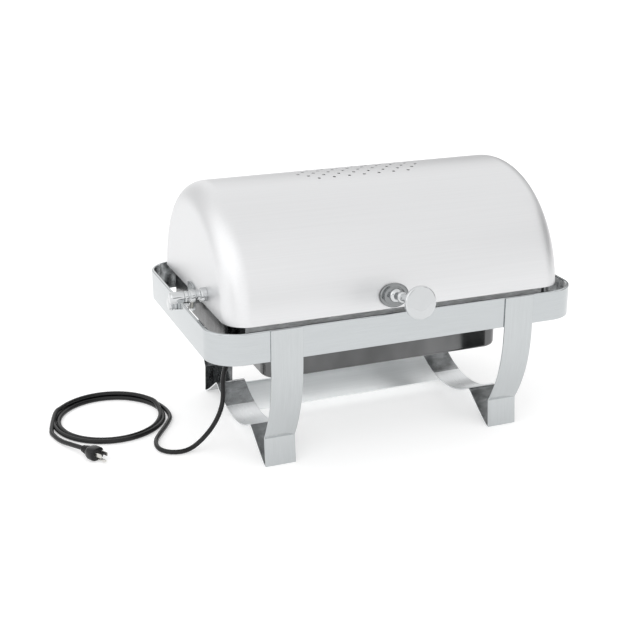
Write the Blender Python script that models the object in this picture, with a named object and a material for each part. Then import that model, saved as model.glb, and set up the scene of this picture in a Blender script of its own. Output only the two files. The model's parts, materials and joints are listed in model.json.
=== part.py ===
"""Electric roll top chafer: frame, legs, rolling dome, pans, heater and cord. Metres, +Z up."""
from math import asin, atan2, cos, pi, radians, sin, sqrt

import bmesh
import bpy
from mathutils import Vector

GAP = 0.0003                      # left between pieces that touch

# Frame: a sheet band with rounded corners, centred on the frame's own origin.
FRAME_HALF_X = 0.325
FRAME_HALF_Y = 0.204
BAND_TOP = 0.249
BAND_BOTTOM = 0.1975
BAND_CORNER = 0.052
BAND_SHEET = 0.0022
LIP_WIDTH = 0.0045

# Dome: a half barrel that turns about the line through both end pivots.
AXIS_Z = 0.2395
DOME_RADIUS = 0.1975
DOME_HALF_X = 0.296
DOME_FILLET = 0.040
DOME_SHEET = 0.0010
RIM_Z = 0.2555
VENT_DIAMETER = 0.0055
VENT_PITCH = (0.027, 0.014)
VENT_ROWS = (7, 8, 9, 8, 7)

# Legs and the ribbons between them.
LEG_X = 0.2054
LEG_WIDTH = 0.053
RIBBON_SHEET = 0.0026
CREASE = (0.1635, 0.049)          # distance from the middle, height
FOOT_Y = 0.1680
PEAK = (0.095, 0.043)
SAG_Z = 0.0155                    # underside of the ribbon's sag, half way back
SHELF_FRONT = 0.013
SHELF_REAR = 0.087
SHELF_SHEET = 0.0020
SHELF_WALL_TOP = 0.0550
SHELF_WALL_X = (-0.125, 0.163)    # where the back wall starts and ends
SHELF_CORNER = 0.048

# Knob on the front of the dome, on a radial stem.
KNOB_X = -0.020
KNOB_ANGLE = radians(10.8)
KNOB_REACH = 0.297                # from the dome's axis to the knob's front face
KNOB_RADIUS = 0.026
KNOB_THICK = 0.007

# The turned post on the dome's left end, which lands on the band when the dome is far back.
POST_Y = -0.080
POST_Z = 0.277
POST_RADIUS = 0.010
POST_END_X = 0.356

# Pivots: a fixed pin each side, turning in a bushing in the dome's lug.
PIN_RADIUS = 0.005
PIN_HEAD_RADIUS = 0.0110
PIN_HEAD = 0.0135
SPACER_RADIUS = 0.0070
NUT_RADIUS = 0.0088
NUT_THICK = 0.0065
LUG_SHEET = 0.003
LUG_TOP = 0.032
LUG_HALF_WIDTH = 0.017
BUSH_RADIUS = 0.0095
BUSH_FLANGE = 0.0018

# Pans and the carrier that holds them.
CARRIER_HALF = (0.286, 0.184)
CARRIER_TOP = 0.251
CARRIER_BOTTOM = 0.204
CARRIER_SHEET = 0.0022
CARRIER_FLANGE = 0.022
CARRIER_CORNER = 0.045
BRACKET_X = 0.150
BRACKET_Z = (0.206, 0.228)
BRACKET_HALF_WIDTH = 0.020
WATER_RIM_HALF = (0.278, 0.176)
WATER_DEPTH = 0.074
WATER_FLANGE = 0.022
FOOD_RIM_HALF = (0.265, 0.1625)
FOOD_DEPTH = 0.065
FOOD_FLANGE = 0.014
PAN_SHEET = 0.0016

# Heater under the water pan.
HEATER_HALF = (0.215, 0.132)
HEATER_BOTTOM = 0.134
HEATER_TOP = 0.1763
HEATER_SHEET = 0.0015
HEATER_CORNER = 0.030
ELEMENT_RADIUS = 0.0036
STRAP_Y = 0.088
STRAP_HALF_WIDTH = 0.010
STRAP_SHEET = 0.0018
STRAP_Z = (0.160, 0.172, 0.244)

# Cord.
CORD_RADIUS = 0.004
CORD_EXIT = (-0.2158, -0.060, 0.155)
COIL_CENTRE = (-0.427, 0.103)
COIL_RADIUS = 0.092
COIL_HALF = (0.0084, 0.0076)
PLUG_START = (-0.4975, -0.0125)
PLUG_HEADING = Vector((0.489, -0.872, 0.0)).normalized()
PLUG_Z = 0.0112
BLADE_OFFSET = 0.00635

# The model's origin is under the middle of everything but the cord.
FRONT_REACH = KNOB_REACH * cos(KNOB_ANGLE) + KNOB_RADIUS * sin(KNOB_ANGLE)
REAR_REACH = FRAME_HALF_Y + GAP + RIBBON_SHEET
CENTRE_Y = (FRONT_REACH - REAR_REACH) / 2
CENTRE_X = (POST_END_X - FRAME_HALF_X - PIN_HEAD) / 2

SIDES = (("left", -1), ("right", 1))
ENDS = (("front", -1), ("rear", 1))


def clear_scene():
    for thing in list(bpy.data.objects):
        bpy.data.objects.remove(thing)


def material(name, colour, roughness, metallic):
    made = bpy.data.materials.new(name)
    made.use_nodes = True
    shader = made.node_tree.nodes["Principled BSDF"]
    shader.inputs["Base Color"].default_value = (*colour, 1.0)
    shader.inputs["Roughness"].default_value = roughness
    shader.inputs["Metallic"].default_value = metallic
    made.diffuse_color = (*colour, 1.0)
    return made


def materials():
    return {
        "polished": material("polished_steel", (0.78, 0.79, 0.79), 0.12, 1.0),
        "satin": material("satin_steel", (0.82, 0.82, 0.83), 0.32, 1.0),
        "pan": material("pan_steel", (0.74, 0.75, 0.75), 0.22, 1.0),
        "chrome": material("chrome", (0.80, 0.81, 0.82), 0.05, 1.0),
        "aluminium": material("aluminium", (0.70, 0.71, 0.72), 0.45, 1.0),
        "sheath": material("element_sheath", (0.16, 0.15, 0.14), 0.55, 1.0),
        "wool": material("insulation", (0.86, 0.84, 0.78), 0.95, 0.0),
        "phenolic": material("phenolic", (0.10, 0.06, 0.04), 0.45, 0.0),
        "nylon": material("bushing_nylon", (0.80, 0.79, 0.74), 0.50, 0.0),
        "rubber": material("black_rubber", (0.02, 0.02, 0.022), 0.45, 0.0),
        "nickel": material("nickel_plate", (0.72, 0.71, 0.68), 0.20, 1.0),
    }


def new_object(name, mesh, home, finish, smooth=True):
    """Put a mesh in the scene under home; its points are in home's own space."""
    made = bpy.data.objects.new(name, mesh)
    bpy.context.collection.objects.link(made)
    made.parent = home
    mesh.materials.append(finish)
    if smooth:
        mesh.shade_smooth()
        mesh.set_sharp_from_angle(angle=radians(35))
    return made


def mesh_from(name, points, faces):
    mesh = bpy.data.meshes.new(name)
    mesh.from_pydata([tuple(p) for p in points], [], faces)
    shape = bmesh.new()
    shape.from_mesh(mesh)
    bmesh.ops.recalc_face_normals(shape, faces=shape.faces)
    shape.to_mesh(mesh)
    shape.free()
    return mesh


def loft(name, rings, home, finish, closed=False, smooth=True):
    """Skin rings of equal point counts; cap both ends, or join last to first."""
    count = len(rings[0])
    points = [p for ring in rings for p in ring]
    faces = []
    for i in range(len(rings) if closed else len(rings) - 1):
        here = i * count
        there = (i + 1) % len(rings) * count
        for j in range(count):
            k = (j + 1) % count
            faces.append((here + j, here + k, there + k, there + j))
    if not closed:
        faces.append(tuple(range(count)))
        faces.append(tuple(range(len(points) - count, len(points))))
    return new_object(name, mesh_from(name, points, faces), home, finish, smooth)


def rounded_rectangle(half_x, half_y, radius, z, steps=6):
    ring = []
    for quarter, (sx, sy) in enumerate(((1, 1), (-1, 1), (-1, -1), (1, -1))):
        for i in range(steps + 1):
            turn = (quarter + i / steps) * pi / 2
            x = sx * (half_x - radius) + radius * cos(turn)
            y = sy * (half_y - radius) + radius * sin(turn)
            ring.append(Vector((x, y, z)))
    return ring


def circle(centre, axis, radius, steps, squash=1.0):
    """A ring of points about an axis; squash flattens it along its second direction."""
    facing = Vector(axis).to_track_quat("Z", "Y")
    ring = []
    for i in range(steps):
        turn = 2 * pi * i / steps
        flat = Vector((radius * cos(turn), squash * radius * sin(turn), 0.0))
        ring.append(Vector(centre) + facing @ flat)
    return ring


def turned(name, profile, start, axis, home, finish, steps=24, squash=1.0):
    """A solid turned about an axis from (distance along it, radius) pairs."""
    axis = Vector(axis).normalized()
    rings = [circle(Vector(start) + axis * d, axis, r, steps, squash) for d, r in profile]
    return loft(name, rings, home, finish)


def tube(name, start, axis, length, outer, inner, home, finish, steps=20):
    axis = Vector(axis).normalized()
    start = Vector(start)
    end = start + axis * length
    rings = [circle(start, axis, outer, steps), circle(end, axis, outer, steps),
             circle(end, axis, inner, steps), circle(start, axis, inner, steps)]
    return loft(name, rings, home, finish, closed=True)


def block(name, low, high, home, finish):
    ring = [(low[0], low[1]), (high[0], low[1]), (high[0], high[1]), (low[0], high[1])]
    rings = [[Vector((x, y, z)) for x, y in ring] for z in (low[2], high[2])]
    return loft(name, rings, home, finish, smooth=False)


def sheet_outline(path, thickness):
    """The closed outline of a bent sheet whose left side follows a 2D path."""
    path = [Vector(p) for p in path]
    far = []
    for i, point in enumerate(path):
        ahead = (path[min(i + 1, len(path) - 1)] - point) if i < len(path) - 1 else None
        behind = (point - path[i - 1]) if i else None
        ways = [w.normalized() for w in (behind, ahead) if w is not None]
        normals = [Vector((-w.y, w.x)) for w in ways]
        mean = sum(normals, Vector((0.0, 0.0))).normalized()
        far.append(point + mean * (thickness / mean.dot(normals[0])))
    return path + far[::-1]


def strip_along_x(name, path, x_low, x_high, home, finish, thickness=RIBBON_SHEET):
    """A bent ribbon: a (y, z) path with thickness, as wide as x_low to x_high."""
    outline = sheet_outline(path, thickness)
    rings = [[Vector((x, p.x, p.y)) for p in outline] for x in (x_low, x_high)]
    return loft(name, rings, home, finish)


def strip_along_y(name, path, y_low, y_high, home, finish, thickness):
    outline = sheet_outline(path, thickness)
    rings = [[Vector((p.x, y, p.y)) for p in outline] for y in (y_low, y_high)]
    return loft(name, rings, home, finish)


def cut(target, cutter, name):
    cutter.hide_render = True
    cutter.display_type = "WIRE"
    made = target.modifiers.new(name, "BOOLEAN")
    made.operation = "DIFFERENCE"
    made.solver = "EXACT"
    made.object = cutter


def cylinders(name, starts, axis, length, radius, home, finish, steps):
    """One cutter made of several straight rods."""
    points = []
    faces = []
    axis = Vector(axis).normalized()
    for start in starts:
        base = len(points)
        for ring in (circle(start, axis, radius, steps),
                     circle(Vector(start) + axis * length, axis, radius, steps)):
            points += ring
        for i in range(steps):
            k = (i + 1) % steps
            faces.append((base + i, base + k, base + steps + k, base + steps + i))
        faces.append(tuple(range(base, base + steps)))
        faces.append(tuple(range(base + steps, base + 2 * steps)))
    return new_object(name, mesh_from(name, points, faces), home, finish, smooth=False)


# ---------------------------------------------------------------- frame and legs


def make_frame_band(home, finish):
    """An upright sheet ring with a narrow lip turned in along its top edge."""
    bend = 0.0018
    inner = BAND_SHEET
    lip = LIP_WIDTH
    rows = [(0.0, BAND_BOTTOM), (0.0, BAND_TOP - bend), (bend * 0.3, BAND_TOP - bend * 0.3),
            (bend, BAND_TOP), (lip, BAND_TOP), (lip, BAND_TOP - BAND_SHEET),
            (inner, BAND_TOP - BAND_SHEET - 0.0004), (inner, BAND_BOTTOM)]
    rings = [rounded_rectangle(FRAME_HALF_X - inset, FRAME_HALF_Y - inset,
                               BAND_CORNER - inset, z) for inset, z in rows]
    band = loft("frame_band", rings, home, finish, closed=True)
    hole = cylinders("pivot_hole_cutter", [(-0.34, 0, AXIS_Z), (0.30, 0, AXIS_Z)],
                     (1, 0, 0), 0.04, PIN_RADIUS + GAP, home, finish, 20)
    cut(band, hole, "pivot_holes")
    return band


def leg_path():
    """From the top of the band down to the floor, as (distance from middle, height)."""
    upright = FRAME_HALF_Y + GAP
    path = [(upright, BAND_TOP), (upright, BAND_BOTTOM)]
    depth = upright - CREASE[0]
    drop = BAND_BOTTOM - CREASE[1]
    for i in range(1, 9):
        part = i / 8
        path.append((upright - depth * part ** 2.35, BAND_BOTTOM - drop * part))
    path += [(FOOT_Y, 0.003), (FOOT_Y, 0.0)]
    return path


def make_legs(home, finish):
    for side, sx in SIDES:
        for end, sy in ENDS:
            path = [(sy * y, z) for y, z in leg_path()]
            if sy > 0:
                path = path[::-1]
            x = sx * LEG_X
            strip_along_x(f"{side}_{end}_leg", path[::-1], x - LEG_WIDTH / 2,
                          x + LEG_WIDTH / 2, home, finish)


def cross_ribbon_path():
    """Floor, ramp, peak, shallow sag, peak, ramp, floor: the underside, rear to front."""
    start = FOOT_Y - GAP - 0.0006
    half = [(start, 0.0), (start - 0.006, 0.0012)]
    ramp_from = half[-1]
    for i in range(1, 4):
        part = i / 4
        y = ramp_from[0] + (PEAK[0] + 0.006 - ramp_from[0]) * part
        z = ramp_from[1] + (PEAK[1] - 0.004 - ramp_from[1]) * part ** 1.1
        half.append((y, z))
    half += [(PEAK[0] + 0.005, PEAK[1] - 0.0036), (PEAK[0], PEAK[1] - 0.0015),
             (PEAK[0] - 0.006, PEAK[1] - 0.0032)]
    for i in range(1, 6):
        part = i / 6
        y = (PEAK[0] - 0.006) * (1 - part)
        half.append((y, sag_height(y)))
    return half + [(0.0, SAG_Z)] + [(-y, z) for y, z in half[::-1]]


def sag_height(y):
    """Underside of the sagging middle: a circular arc from the peaks to SAG_Z."""
    edge = PEAK[0] - 0.006
    rise = PEAK[1] - 0.0032 - SAG_Z
    radius = (edge ** 2 + rise ** 2) / (2 * rise)
    return SAG_Z + radius - sqrt(radius ** 2 - y ** 2)


def make_cross_ribbons(home, finish):
    for side, sx in SIDES:
        x = sx * LEG_X
        strip_along_x(f"{side}_cross_ribbon", cross_ribbon_path()[::-1], x - LEG_WIDTH / 2,
                      x + LEG_WIDTH / 2, home, finish)



def make_cross_shelf(home, finish):
    """The plate between the ribbons, with a back wall whose ends are rounded off."""
    half = LEG_X - LEG_WIDTH / 2 - GAP
    t = SHELF_SHEET
    steps = 5
    ys = [SHELF_FRONT + (SHELF_REAR - SHELF_FRONT) * i / steps for i in range(steps + 1)]
    under = [(y, sag_height(y) + GAP) for y in ys]
    wall_from, wall_to = SHELF_WALL_X
    columns = [-half] + [wall_from + SHELF_CORNER * i / 4 for i in range(5)]
    columns += [wall_to - SHELF_CORNER * i / 4 for i in range(4, -1, -1)] + [half]
    rings = []
    for x in columns:
        edge = min(x - wall_from, wall_to - x) / SHELF_CORNER
        round_off = sqrt(max(0.0, 1 - (1 - min(1.0, max(0.0, edge))) ** 2))
        foot = under[-1][1] + t
        top = foot + 0.0012 + (SHELF_WALL_TOP - foot - 0.0012) * round_off
        ring = [Vector((x, y, z)) for y, z in under]
        ring += [Vector((x, SHELF_REAR, top)), Vector((x, SHELF_REAR - t, top))]
        ring += [Vector((x, y - (t if i == steps else 0), z + t))
                 for i, (y, z) in reversed(list(enumerate(under)))]
        rings.append(ring)
    return loft("cross_shelf", rings, home, finish)


# ---------------------------------------------------------------- dome

def barrel_arcs(radius, half_x, fillet, steps_round=40, steps_fillet=5):
    """Rows of points over a half barrel, each from the rear rim over to the front rim."""
    stations = [(half_x - fillet + fillet * sin(a), radius - fillet + fillet * cos(a))
                for a in (i * pi / 2 / steps_fillet for i in range(steps_fillet + 1))]
    stations = [(-x, r) for x, r in stations[::-1]] + stations
    lift = RIM_Z - AXIS_Z
    rows = []
    for x, r in stations:
        low = asin(lift / r)
        row = []
        for j in range(steps_round + 1):
            turn = low + (pi - 2 * low) * j / steps_round
            row.append(Vector((x, r * cos(turn), r * sin(turn))))
        rows.append(row)
    return rows


def make_dome(home, finish):
    """The shell is built about the pivot line, which is home's own X axis."""
    outer = barrel_arcs(DOME_RADIUS, DOME_HALF_X, DOME_FILLET)
    inner = barrel_arcs(DOME_RADIUS - DOME_SHEET, DOME_HALF_X - DOME_SHEET,
                        DOME_FILLET - DOME_SHEET)
    rows = len(outer)
    width = len(outer[0])
    points = [p for row in outer for p in row] + [p for row in inner for p in row]
    inside = rows * width

    def at(layer, i, j):
        return layer * inside + i * width + j

    faces = []
    for layer in (0, 1):
        for i in range(rows - 1):
            for j in range(width - 1):
                faces.append((at(layer, i, j), at(layer, i, j + 1),
                              at(layer, i + 1, j + 1), at(layer, i + 1, j)))
        for i in (0, rows - 1):
            faces.append(tuple(at(layer, i, j) for j in range(width)))
    for j in (0, width - 1):
        for i in range(rows - 1):
            faces.append((at(0, i, j), at(0, i + 1, j), at(1, i + 1, j), at(1, i, j)))
    for i in (0, rows - 1):
        faces.append((at(0, i, 0), at(0, i, width - 1), at(1, i, width - 1), at(1, i, 0)))
    dome = new_object("dome_cover", mesh_from("dome_cover", points, faces), home, finish)
    starts = []
    for row, count in enumerate(VENT_ROWS):
        y = (row - (len(VENT_ROWS) - 1) / 2) * VENT_PITCH[1]
        for i in range(count):
            starts.append(((i - (count - 1) / 2) * VENT_PITCH[0], y, DOME_RADIUS - 0.02))
    cut(dome, cylinders("vent_cutter", starts, (0, 0, 1), 0.04, VENT_DIAMETER / 2,
                        home, finish, 8), "vents")
    return dome



def make_dome_lug(side, sx, home, finish):
    """A plate outside the dome's end that carries the pivot bushing below the rim."""
    corners = 24
    hole = circle((0, 0, 0), (1, 0, 0), BUSH_RADIUS + GAP, corners)
    outline = []
    for p in hole:
        turn = atan2(p.z, p.y)
        y, z = cos(turn), sin(turn)
        reach = LUG_HALF_WIDTH
        if z > 0:
            reach = min(LUG_HALF_WIDTH / max(abs(y), 1e-6), LUG_TOP / max(z, 1e-6))
        outline.append((y * reach, z * reach))
    near = DOME_HALF_X + GAP
    rings = [[Vector((sx * x, y, z)) for y, z in outline] for x in (near, near + LUG_SHEET)]
    rings += [[Vector((sx * x, p.y, p.z)) for p in hole] for x in (near + LUG_SHEET, near)]
    loft(f"{side}_dome_lug", rings, home, finish, closed=True)


def make_pivot_bushing(side, sx, home, finish):
    """A flanged bushing in the lug, turning on the fixed pin."""
    inner = PIN_RADIUS + GAP
    near = DOME_HALF_X + GAP - 0.002
    far = DOME_HALF_X + GAP + LUG_SHEET
    flange = BUSH_RADIUS + 0.0030
    rows = [(near, BUSH_RADIUS), (far + GAP, BUSH_RADIUS), (far + GAP, flange),
            (far + BUSH_FLANGE, flange), (far + BUSH_FLANGE, inner), (near, inner)]
    rings = [circle((sx * x, 0, 0), (sx, 0, 0), r, 20) for x, r in rows]
    loft(f"{side}_pivot_bushing", rings, home, finish, closed=True)


def make_side_post(home, finish):
    """A turned post standing out of the dome's left end, above the band."""
    r = POST_RADIUS
    full = POST_END_X - DOME_HALF_X - GAP
    profile = [(0, r * 1.12), (0.010, r * 1.12), (0.012, r * 0.80), (0.017, r * 0.80),
               (0.019, r), (0.026, r), (0.028, r * 0.82), (0.036, r * 0.82),
               (0.038, r * 0.95), (full - 0.003, r * 0.95), (full, r * 0.72)]
    turned("side_post", profile, (-DOME_HALF_X - GAP, POST_Y, POST_Z - AXIS_Z), (-1, 0, 0),
           home, finish, 20)


def knob_axis():
    return Vector((0.0, -cos(KNOB_ANGLE), sin(KNOB_ANGLE)))


def make_knob(home, chrome):
    """Escutcheon, stem, disc and inside nut, in line on a radius of the dome."""
    axis = knob_axis()
    base = Vector((KNOB_X, 0, 0))
    seat = DOME_RADIUS + 0.0022
    hole = cylinders("knob_hole_cutter", [base + axis * (DOME_RADIUS - 0.012)], axis, 0.02,
                     0.0035, home, chrome, 12)
    plate = [(seat, 0.0250), (seat + 0.0012, 0.0250), (seat + 0.0030, 0.0215),
             (seat + 0.0042, 0.0140)]
    turned("knob_escutcheon", plate, base, axis, home, chrome, 28, squash=0.78)
    stem_start = seat + 0.0042 + GAP
    disc_start = KNOB_REACH - KNOB_THICK
    length = disc_start - GAP - stem_start
    stem = [(0, 0.0105), (0.006, 0.0095), (0.010, 0.0062), (0.022, 0.0055),
            (0.025, 0.0080), (0.029, 0.0080), (0.032, 0.0058), (length - 0.030, 0.0062),
            (length - 0.012, 0.0090), (length - 0.003, 0.0150), (length, 0.0165)]
    turned("knob_stem", stem, base + axis * stem_start, axis, home, chrome, 20)
    edge = 0.0018
    disc = [(0, KNOB_RADIUS - edge), (edge, KNOB_RADIUS), (KNOB_THICK - edge, KNOB_RADIUS),
            (KNOB_THICK, KNOB_RADIUS - edge)]
    turned("knob_disc", disc, base + axis * disc_start, axis, home, chrome, 32)
    nut = DOME_RADIUS - DOME_SHEET - 0.0065
    turned("knob_nut", [(0, 0.0070), (0.005, 0.0070)], base + axis * nut, axis, home,
           chrome, 6)
    return hole


# ---------------------------------------------------------------- pivots and carrier

def make_pivots(side, sx, home, chrome):
    """The fixed pin through band, lug and carrier, its spacer and its nut."""
    x = FRAME_HALF_X
    head = PIN_HEAD
    shaft_end = x - CARRIER_HALF[0] + 0.0112
    profile = [(0, PIN_HEAD_RADIUS * 0.80), (0.0015, PIN_HEAD_RADIUS),
               (head - GAP, PIN_HEAD_RADIUS), (head - GAP, PIN_RADIUS),
               (head + shaft_end, PIN_RADIUS)]
    turned(f"{side}_pivot_pin", profile, (sx * (x + head), 0, AXIS_Z), (-sx, 0, 0), home,
           chrome, 20)
    lug_face = DOME_HALF_X + GAP + LUG_SHEET + BUSH_FLANGE
    outer_face = x - BAND_SHEET - GAP
    tube(f"{side}_pivot_spacer", (sx * outer_face, 0, AXIS_Z), (-sx, 0, 0),
         outer_face - lug_face - GAP, SPACER_RADIUS, PIN_RADIUS + GAP, home, chrome)
    nut_face = CARRIER_HALF[0] - CARRIER_SHEET - GAP
    tube(f"{side}_pivot_nut", (sx * nut_face, 0, AXIS_Z), (-sx, 0, 0), NUT_THICK,
         NUT_RADIUS, PIN_RADIUS + GAP, home, chrome, steps=12)



def make_pan_carrier(home, finish):
    """A ring inside the dome's sweep: upright wall, top flange turned in."""
    flange = CARRIER_FLANGE
    t = CARRIER_SHEET
    rows = [(0.0, CARRIER_BOTTOM), (0.0, CARRIER_TOP), (flange, CARRIER_TOP),
            (flange, CARRIER_TOP - t), (t, CARRIER_TOP - t), (t, CARRIER_BOTTOM)]
    rings = [rounded_rectangle(CARRIER_HALF[0] - inset, CARRIER_HALF[1] - inset,
                               CARRIER_CORNER - inset, z) for inset, z in rows]
    carrier = loft("pan_carrier", rings, home, finish, closed=True)
    hole = cylinders("carrier_hole_cutter", [(-0.292, 0, AXIS_Z), (0.276, 0, AXIS_Z)],
                     (1, 0, 0), 0.016, PIN_RADIUS + GAP, home, finish, 20)
    cut(carrier, hole, "pivot_holes")


def make_carrier_brackets(home, finish):
    """Two channel pieces tie the carrier's front wall to the band's front wall."""
    near = -(CARRIER_HALF[1] + GAP)
    far = -(FRAME_HALF_Y - BAND_SHEET - GAP)
    for side, sx in SIDES:
        x = sx * BRACKET_X
        low, high = BRACKET_Z
        path = [(near, high), (near, low), (far, low), (far, high)]
        strip_along_x(f"{side}_carrier_bracket", path, x - BRACKET_HALF_WIDTH,
                      x + BRACKET_HALF_WIDTH, home, finish, thickness=-CARRIER_SHEET)


# ---------------------------------------------------------------- pans

def make_pan(name, half, flange, depth, corner, home, finish):
    """An open pan with a flat flange; home's origin is at the flange's underside."""
    t = PAN_SHEET
    bend = 0.004
    draft = 0.010
    body = (half[0] - flange, half[1] - flange)
    r = corner

    def ring(inset, z, radius):
        return rounded_rectangle(body[0] - inset, body[1] - inset, radius, z)

    low = -depth
    outer = [ring(draft + 0.020, low, r - 0.014), ring(draft + 0.007, low + 0.004, r - 0.006),
             ring(draft, low + 0.014, r), ring(0.0, -bend, r + draft * 0.5),
             ring(-bend * 0.6, 0.0, r + draft * 0.5)]
    rim = [ring(-flange, 0.0, r + draft * 0.5 + flange * 0.6),
           ring(-flange, t, r + draft * 0.5 + flange * 0.6)]
    inner = [ring(-bend * 0.2, t, r + draft * 0.5), ring(t, -bend * 0.6, r + draft * 0.5 - t),
             ring(draft + t, low + 0.014, r - t),
             ring(draft + 0.007 + t * 0.7, low + 0.004 + t * 0.7, r - 0.006 - t),
             ring(draft + 0.020, low + t, r - 0.014)]
    return loft(name, outer + rim + inner, home, finish)


# ---------------------------------------------------------------- heater

def make_heater(home, look):
    """Housing, insulation, element, spreader plate, thermostat and terminals."""
    hx, hy = HEATER_HALF
    t = HEATER_SHEET
    low = HEATER_BOTTOM
    rings = [rounded_rectangle(hx - 0.006, hy - 0.006, HEATER_CORNER - 0.006, low),
             rounded_rectangle(hx, hy, HEATER_CORNER, low + 0.006),
             rounded_rectangle(hx, hy, HEATER_CORNER, HEATER_TOP),
             rounded_rectangle(hx - t, hy - t, HEATER_CORNER - t, HEATER_TOP),
             rounded_rectangle(hx - t, hy - t, HEATER_CORNER - t, low + 0.006 + t * 0.4),
             rounded_rectangle(hx - 0.006 - t * 0.4, hy - 0.006 - t * 0.4,
                               HEATER_CORNER - 0.006 - t * 0.4, low + t)]
    housing = loft("heater_housing", rings, home, look["polished"])
    hole = cylinders("cord_hole_cutter", [(-hx - 0.01, CORD_EXIT[1], CORD_EXIT[2])],
                     (1, 0, 0), 0.02, 0.0065, home, look["polished"], 16)
    cut(housing, hole, "cord_hole")
    floor = low + t + GAP
    block("insulation_pad", (-0.150, -0.112, floor), (0.192, 0.112, floor + 0.010), home,
          look["wool"])
    plate_low = HEATER_TOP - 0.0045
    rings = [rounded_rectangle(hx - t - GAP, hy - t - GAP, 0.028, z)
             for z in (plate_low, HEATER_TOP - 0.0010)]
    loft("heater_plate", rings, home, look["aluminium"])
    make_element(home, look["sheath"], plate_low - GAP - ELEMENT_RADIUS)
    block("thermostat", (-0.204, 0.020, floor), (-0.160, 0.060, floor + 0.024), home,
          look["phenolic"])
    block("terminal_block", (-0.196, -0.064, floor), (-0.160, -0.026, floor + 0.009), home,
          look["phenolic"])


def make_element(home, finish, z):
    """A sheathed element bent into two long loops under the plate."""
    points = []
    left, right = -0.135, 0.150
    rows = (-0.090, -0.030, 0.030, 0.090)
    for i, y in enumerate(rows):
        ends = (left, right) if i % 2 == 0 else (right, left)
        points.append((ends[0], y))
        points.append((ends[1], y))
        if i < len(rows) - 1:
            bulge = 0.030 if i % 2 == 0 else -0.030
            for k in (1, 2, 3):
                turn = k * pi / 4
                points.append((ends[1] + bulge * sin(turn), y + 0.030 - 0.030 * cos(turn)))
    wire("heater_element", [(x, y, z) for x, y in points], ELEMENT_RADIUS, home,
         finish)


def make_hangers(home, finish):
    """Four straps hang the heater housing from the carrier's end walls."""
    bottom, lip, top = STRAP_Z
    for side, sx in SIDES:
        for end, sy in ENDS:
            wall = CARRIER_HALF[0] - CARRIER_SHEET - GAP
            box = HEATER_HALF[0] + GAP
            path = [(sx * wall, top), (sx * wall, bottom), (sx * box, bottom),
                    (sx * box, lip)]
            y = sy * STRAP_Y
            strip_along_y(f"{side}_{end}_heater_strap", path, y - STRAP_HALF_WIDTH,
                          y + STRAP_HALF_WIDTH, home, finish, -sx * STRAP_SHEET)


# ---------------------------------------------------------------- cord

def smooth_points(route, spacing):
    """Points at about equal spacing on a smooth curve through a hand-chosen route."""
    route = [Vector(p) for p in route]
    ends = [route[0] * 2 - route[1]] + route + [route[-1] * 2 - route[-2]]
    fine = []
    for i in range(1, len(ends) - 2):
        a, b, c, d = ends[i - 1:i + 3]
        for k in range(24):
            t = k / 24
            fine.append(0.5 * (2 * b + (c - a) * t + (2 * a - 5 * b + 4 * c - d) * t * t
                               + (3 * b - a - 3 * c + d) * t ** 3))
    fine.append(route[-1])
    total = sum((fine[i + 1] - fine[i]).length for i in range(len(fine) - 1))
    count = max(2, round(total / spacing))
    result = [fine[0]]
    walked = 0.0
    for i in range(len(fine) - 1):
        walked += (fine[i + 1] - fine[i]).length
        if walked >= total / count * len(result) and len(result) < count:
            result.append(fine[i + 1])
    result.append(fine[-1])
    return result


def wire(name, points, radius, home, finish):
    """A round tube along points: a poly curve with a filled bevel."""
    curve = bpy.data.curves.new(name, "CURVE")
    curve.dimensions = "3D"
    curve.bevel_depth = radius
    curve.bevel_resolution = 2
    curve.use_fill_caps = True
    spline = curve.splines.new("POLY")
    spline.points.add(len(points) - 1)
    for slot, point in zip(spline.points, points):
        slot.co = (*point, 1.0)
    curve.materials.append(finish)
    made = bpy.data.objects.new(name, curve)
    bpy.context.collection.objects.link(made)
    made.parent = home
    return made


CORD_ROUTE = (
    (-0.2364, -0.0600, 0.1550), (-0.2450, -0.0606, 0.1537), (-0.2560, -0.0628, 0.1475),
    (-0.2645, -0.0665, 0.1365), (-0.2696, -0.0712, 0.1215), (-0.2712, -0.0755, 0.1045),
    (-0.2735, -0.0785, 0.0865), (-0.2795, -0.0790, 0.0665), (-0.2885, -0.0765, 0.0470),
    (-0.2990, -0.0720, 0.0300), (-0.3115, -0.0690, 0.0160), (-0.3260, -0.0700, 0.0072),
    (-0.3410, -0.0722, 0.0044), (-0.3560, -0.0705, 0.0043), (-0.3690, -0.0625, 0.0043),
    (-0.3768, -0.0485, 0.0043), (-0.3775, -0.0310, 0.0043), (-0.3720, -0.0115, 0.0043),
    (-0.3610, 0.0080, 0.0043), (-0.3480, 0.0280, 0.0043), (-0.3360, 0.0480, 0.0043),
    (-0.3268, 0.0690, 0.0043),
)
TAIL_ROUTE = (
    (-0.5318, 0.0880, 0.0046), (-0.5305, 0.0640, 0.0045), (-0.5235, 0.0400, 0.0050),
    (-0.5115, 0.0140, 0.0082), (-0.4979, -0.0118, 0.0112),
)


def make_cord(home, look):
    exit_point = Vector(CORD_EXIT)
    relief = [(0, 0.0100), (0.0030, 0.0100), (0.0045, 0.0080), (0.0200, 0.0056)]
    turned("strain_relief", relief, exit_point + Vector((0.0005, 0, 0)), (-1, 0, 0), home,
           look["rubber"], 20)
    wire("cord_run", smooth_points(CORD_ROUTE, 0.016), CORD_RADIUS, home, look["rubber"])
    make_coil(home, look["rubber"])
    wire("cord_tail", smooth_points(TAIL_ROUTE, 0.016), CORD_RADIUS, home, look["rubber"])


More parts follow.
